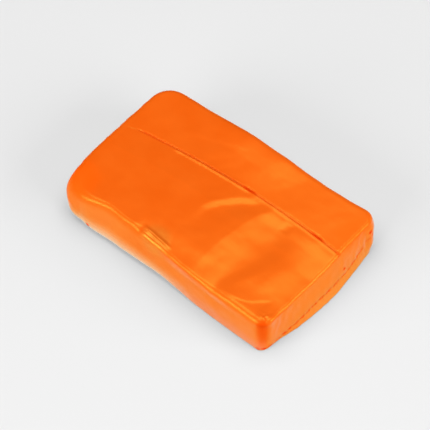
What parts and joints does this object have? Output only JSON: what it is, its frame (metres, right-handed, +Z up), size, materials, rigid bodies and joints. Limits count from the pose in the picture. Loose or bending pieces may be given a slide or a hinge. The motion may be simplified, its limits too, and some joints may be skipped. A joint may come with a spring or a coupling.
{
  "type": "clay bar",
  "caption": "Rounded rectangular bar of soft orange detailing clay, tightly wrapped in clear film with a lap along the top and folded ends.",
  "frame": {"origin": "centre of the base, on the surface that the bar lies on", "axes": "+X along the bar's length, +Y across its width towards the side that the lap's free edge is nearer to, +Z up through its thickness"},
  "size_m": [0.106, 0.062, 0.02],
  "materials": {
    "clay": "soft, dense, satin",
    "clear_film": "clear, thin, glossy"
  },
  "bodies": {
    "root": {"clay_block": "clay", "wrap_film": "clear_film"}
  },
  "joints": []
}
